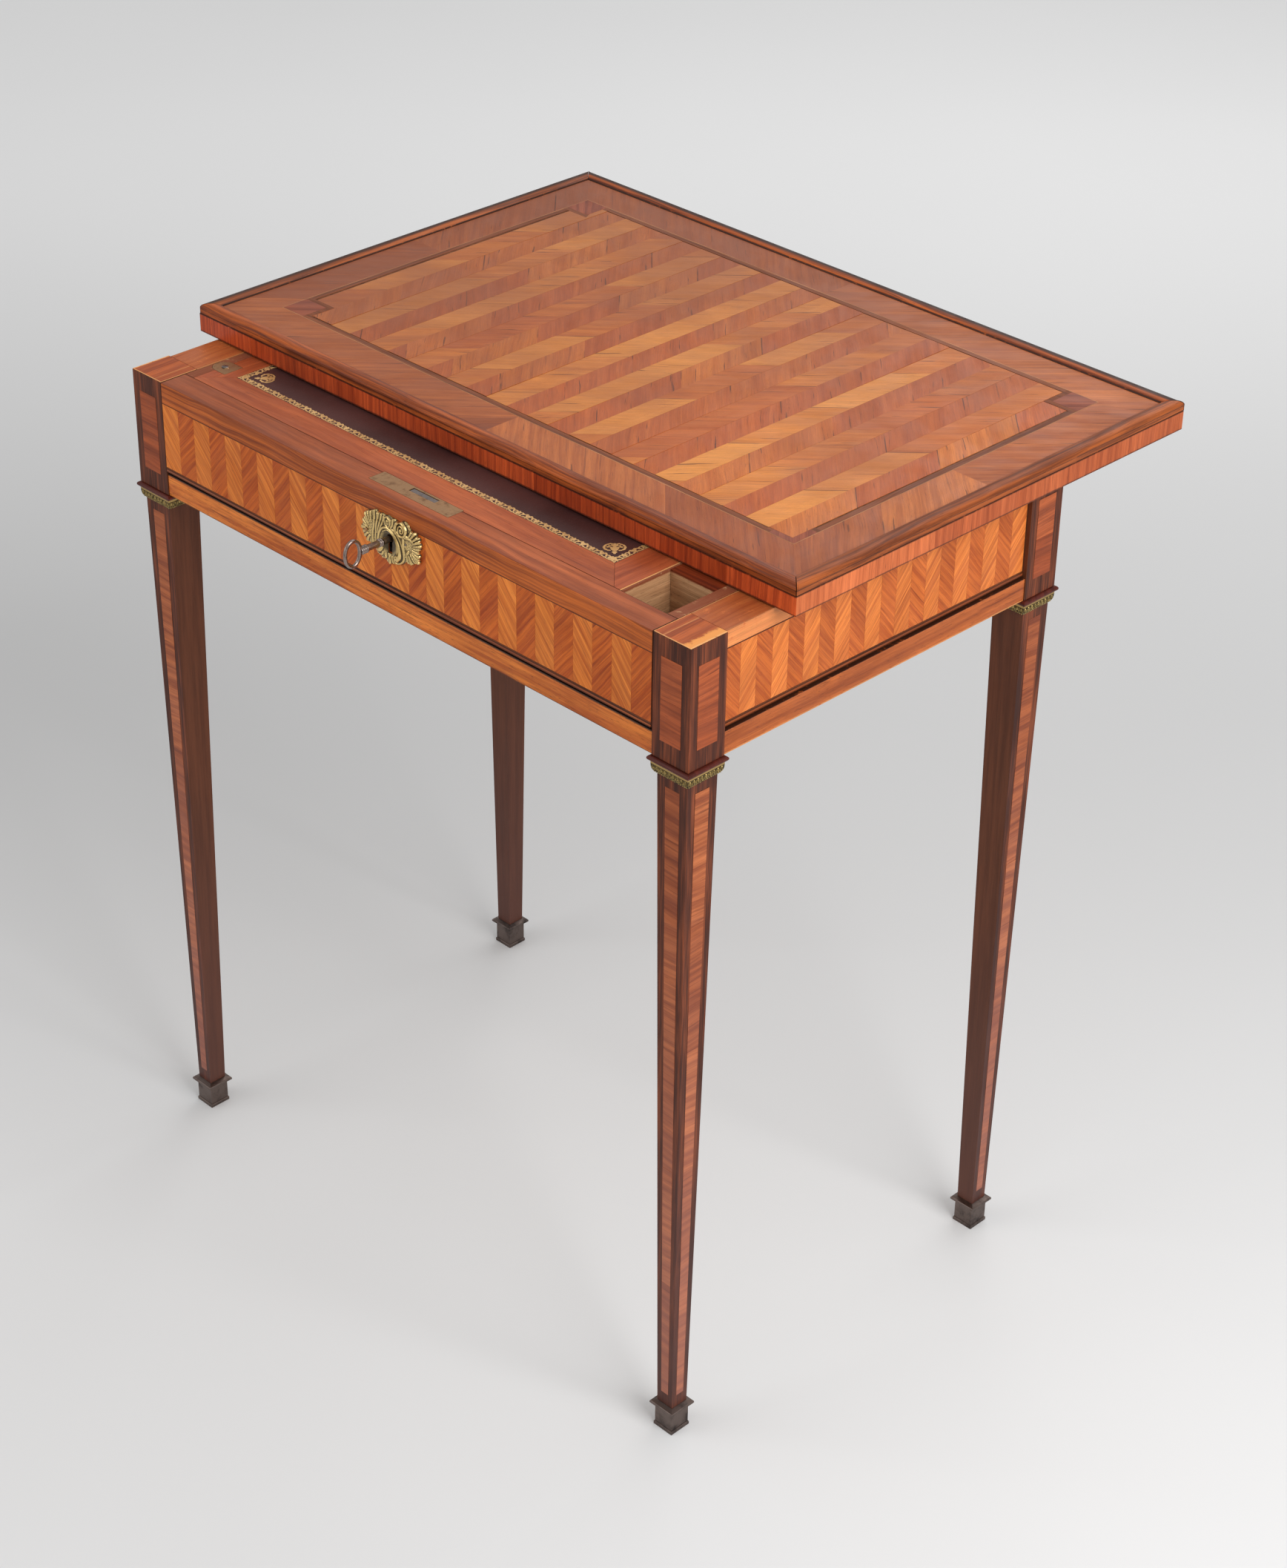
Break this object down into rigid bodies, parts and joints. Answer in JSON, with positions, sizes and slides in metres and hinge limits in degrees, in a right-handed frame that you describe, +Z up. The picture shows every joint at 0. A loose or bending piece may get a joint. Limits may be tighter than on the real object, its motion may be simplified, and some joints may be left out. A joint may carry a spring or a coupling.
{
  "type": "writing table",
  "caption": "Small marquetry writing table on tapered legs, with a sliding top over a fitted, leather-lined drawer with a lock and key.",
  "frame": {"origin": "on the floor, under the middle of the bounding box, with the top slid back and the key in its lock", "axes": "+Z up, -Y towards the drawer's front and the person who sits at it, +X to that person's right"},
  "size_m": [0.636, 0.5458, 0.7248],
  "materials": {
    "tulipwood": "French polished tulipwood veneer laid as chevrons, with stringing",
    "rosewood": "polished dark rosewood veneer and mouldings, with lighter inlaid panels on the legs",
    "rail_wood": "polished reddish-brown rails and flap frame",
    "inner_wood": "plain unpolished oak of the drawer and runners",
    "bronze": "cast and gilt bronze, worn",
    "dark_bronze": "dark patinated cast shoe",
    "brass": "brushed, tarnished brass plate",
    "steel": "old polished steel with brown patina",
    "leather": "dark brown leather with a gilt tooled border"
  },
  "bodies": {
    "case": {"back_lower_rail": "rail_wood", "back_panel": "tulipwood", "back_top_rail": "rail_wood", "capital_back_left": "rosewood", "capital_back_right": "rosewood", "capital_front_left": "rosewood", "capital_front_right": "rosewood", "collar_back_left": "bronze", "collar_back_right": "bronze", "collar_front_left": "bronze", "collar_front_right": "bronze", "drawer_runner_left": "inner_wood", "drawer_runner_right": "inner_wood", "front_rail": "rail_wood", "leg_back_left": "rosewood", "leg_back_right": "rosewood", "leg_front_left": "rosewood", "leg_front_right": "rosewood", "sabot_back_left": "dark_bronze", "sabot_back_right": "dark_bronze", "sabot_front_left": "dark_bronze", "sabot_front_right": "dark_bronze", "side_lower_rail_left": "rail_wood", "side_lower_rail_right": "rail_wood", "side_panel_left": "tulipwood", "side_panel_right": "tulipwood", "side_top_rail_left": "rail_wood", "side_top_rail_right": "rail_wood"},
    "top": {"lip_back": "rosewood", "lip_front": "rosewood", "lip_left": "rosewood", "lip_right": "rosewood", "strike_plate": "brass", "top_batten_left": "inner_wood", "top_batten_right": "inner_wood", "top_board": "tulipwood"},
    "drawer": {"compartment_divider": "inner_wood", "compartment_partition": "inner_wood", "drawer_back": "inner_wood", "drawer_floor": "inner_wood", "drawer_front": "tulipwood", "drawer_side_left": "inner_wood", "drawer_side_right": "inner_wood", "escutcheon": "bronze", "flap_board": "inner_wood", "flap_hinge_back": "brass", "flap_hinge_front": "brass", "flap_ledge_left": "inner_wood", "flap_ledge_right": "inner_wood", "flap_rail_back": "rail_wood", "flap_rail_front": "rail_wood", "flap_stile_left": "rail_wood", "flap_stile_right": "rail_wood", "lock_case": "steel", "lock_plate": "brass", "writing_leather": "leather"},
    "key": {"key": "steel"},
    "bolt": {"lock_bolt": "steel"}
  },
  "joints": [
    {"name": "top_slide", "type": "slide", "parent": "case", "child": "top", "axis": [0, 1, 0], "range_m": [-0.0975, 0.042]},
    {"name": "drawer_slide", "type": "slide", "parent": "case", "child": "drawer", "axis": [0, -1, 0], "range_m": [0, 0.25]},
    {"name": "key_turn", "type": "hinge", "parent": "drawer", "child": "key", "pos_m": [0, -0.2285, 0.66849], "axis": [0, 1, 0], "range_deg": [0, 180]},
    {"name": "bolt_lift", "type": "slide", "parent": "drawer", "child": "bolt", "axis": [0, 0, 1], "range_m": [0, 0.008]}
  ],
  "couplings": [
    {"joint": "key_turn", "follows": "bolt_lift", "rad_per_m": 392.68}
  ]
}
